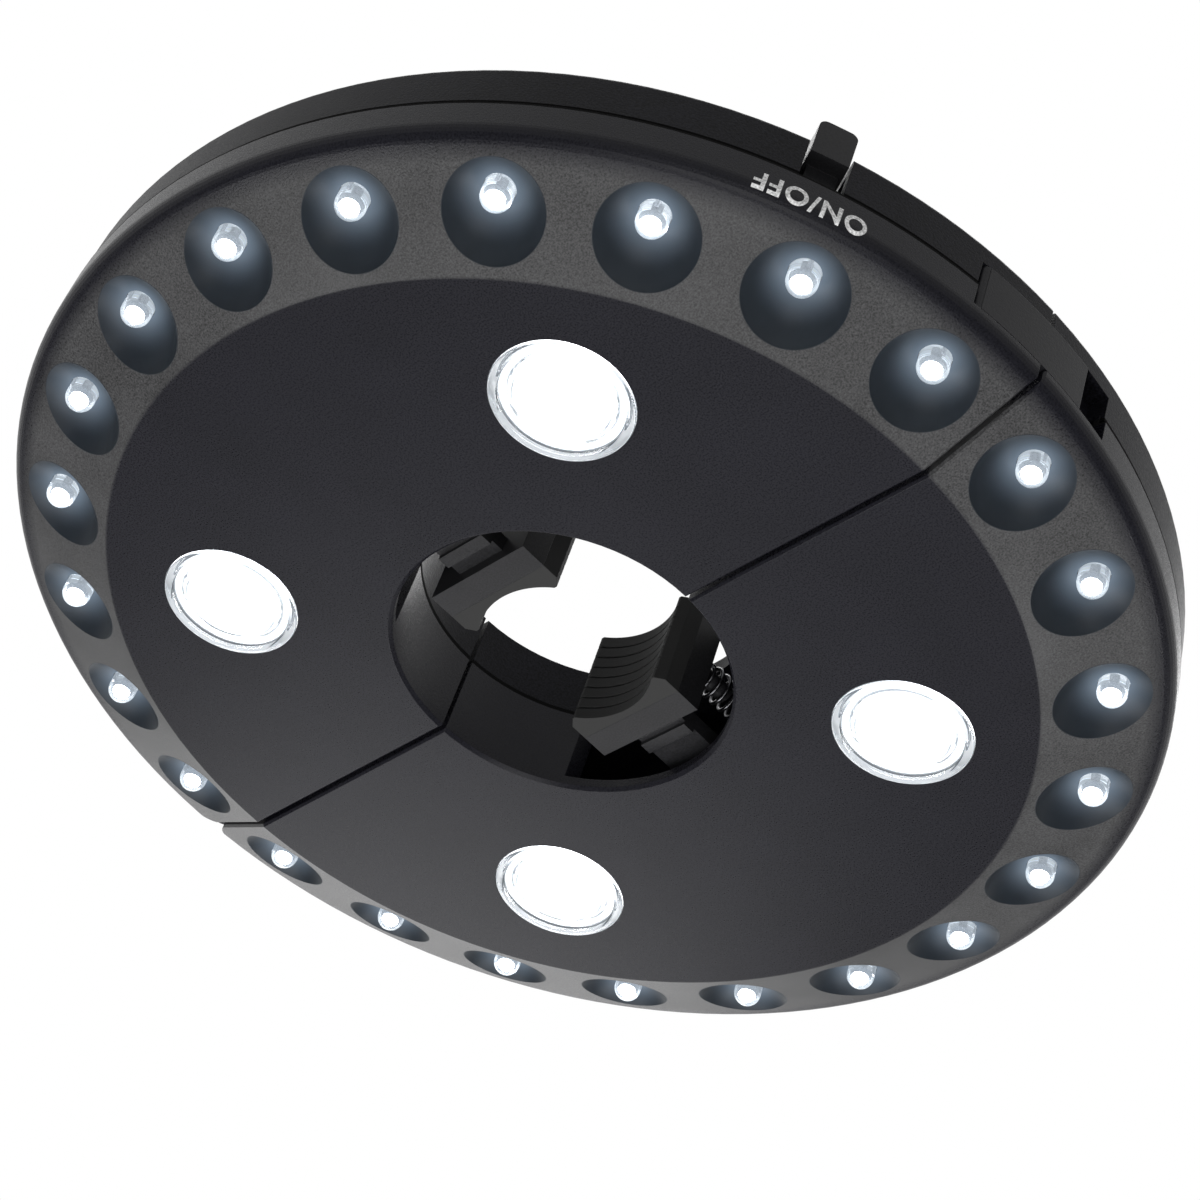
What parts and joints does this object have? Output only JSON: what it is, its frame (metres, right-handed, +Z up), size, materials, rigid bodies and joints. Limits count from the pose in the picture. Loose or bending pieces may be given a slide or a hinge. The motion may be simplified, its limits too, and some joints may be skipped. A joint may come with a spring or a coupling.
{
  "type": "patio umbrella light",
  "caption": "Round clip-on light for an umbrella pole: two hinged half discs with lamps underneath, closed by a latch and held by sprung jaws.",
  "frame": {"origin": "on the pole's axis, at the height of the lower casing's sharp rim corner", "axes": "+Z up along the pole, away from the lamps; +X towards the latch, -X towards the hinge; half A with the switch lies at -Y and half B at +Y"},
  "size_m": [0.1998, 0.2, 0.0311],
  "materials": {
    "casing": "fine grain",
    "cover": "fine grain",
    "jaw": "smooth moulded",
    "switch": "smooth moulded",
    "rubber": "soft",
    "clear_lens": "clear moulded",
    "frosted_lens": "frosted",
    "board": "solder mask",
    "plated_steel": "plated",
    "cell": "printed sleeve",
    "wire": "insulation"
  },
  "bodies": {
    "half_a": {"lower_casing_a": "casing", "upper_cover_a": "cover", "circuit_board_a": "board", "small_lamps_a": "clear_lens", "flood_lenses_a": "frosted_lens", "flood_boards_a": "board", "battery_cells_a": "cell", "battery_contacts_a": "plated_steel", "contact_springs_a": "plated_steel", "cover_screws_a": "plated_steel", "board_screws_a": "plated_steel", "jaw_springs_a": "plated_steel", "hook_pin_a": "plated_steel", "lead_wires_a": "wire", "switch_body": "switch", "latch_pin": "plated_steel", "hinge_pin": "plated_steel"},
    "half_b": {"lower_casing_b": "casing", "upper_cover_b": "cover", "circuit_board_b": "board", "small_lamps_b": "clear_lens", "flood_lenses_b": "frosted_lens", "flood_boards_b": "board", "battery_cells_b": "cell", "battery_contacts_b": "plated_steel", "contact_springs_b": "plated_steel", "cover_screws_b": "plated_steel", "board_screws_b": "plated_steel", "jaw_springs_b": "plated_steel", "hook_pin_b": "plated_steel", "lead_wires_b": "wire"},
    "jaw_a": {"clamp_jaw_a": "jaw", "grip_pad_a": "rubber"},
    "jaw_b": {"clamp_jaw_b": "jaw", "grip_pad_b": "rubber"},
    "door_a": {"battery_door_a": "cover"},
    "door_b": {"battery_door_b": "cover"},
    "hook_a": {"hanging_hook_a": "jaw"},
    "hook_b": {"hanging_hook_b": "jaw"},
    "switch": {"switch_cap": "switch"},
    "latch": {"latch_tongue": "casing"}
  },
  "joints": [
    {"name": "swing", "type": "hinge", "parent": "half_a", "child": "half_b", "pos_m": [-0.096, 0, 0.008], "axis": [0, 0, 1], "range_deg": [0, 70]},
    {"name": "jaw_a_slide", "type": "slide", "parent": "half_a", "child": "jaw_a", "axis": [0, -1, 0], "range_m": [0, 0.008], "stiffness_N_per_m": 600, "springref_m": -0.006, "deforming": ["jaw_springs_a"]},
    {"name": "jaw_b_slide", "type": "slide", "parent": "half_b", "child": "jaw_b", "axis": [0, 1, 0], "range_m": [0, 0.008], "stiffness_N_per_m": 600, "springref_m": -0.006, "deforming": ["jaw_springs_b"]},
    {"name": "door_a_lift", "type": "slide", "parent": "half_a", "child": "door_a", "axis": [0, 0, 1], "range_m": [0, 0.02]},
    {"name": "door_b_lift", "type": "slide", "parent": "half_b", "child": "door_b", "axis": [0, 0, 1], "range_m": [0, 0.02]},
    {"name": "hook_a_fold", "type": "hinge", "parent": "half_a", "child": "hook_a", "pos_m": [-0.044, -0.024, 0.0172], "axis": [0, 1, 0], "range_deg": [0, 90]},
    {"name": "hook_b_fold", "type": "hinge", "parent": "half_b", "child": "hook_b", "pos_m": [0.044, 0.024, 0.0172], "axis": [0, -1, 0], "range_deg": [0, 90]},
    {"name": "switch_press", "type": "slide", "parent": "half_a", "child": "switch", "axis": [0, 0, -1], "range_m": [0, 0.002], "stiffness_N_per_m": 400, "springref_m": -0.001},
    {"name": "latch_turn", "type": "hinge", "parent": "half_a", "child": "latch", "pos_m": [0.09759, -0.01337, 0.008], "axis": [0, 0, -1], "range_deg": [0, 20]}
  ]
}
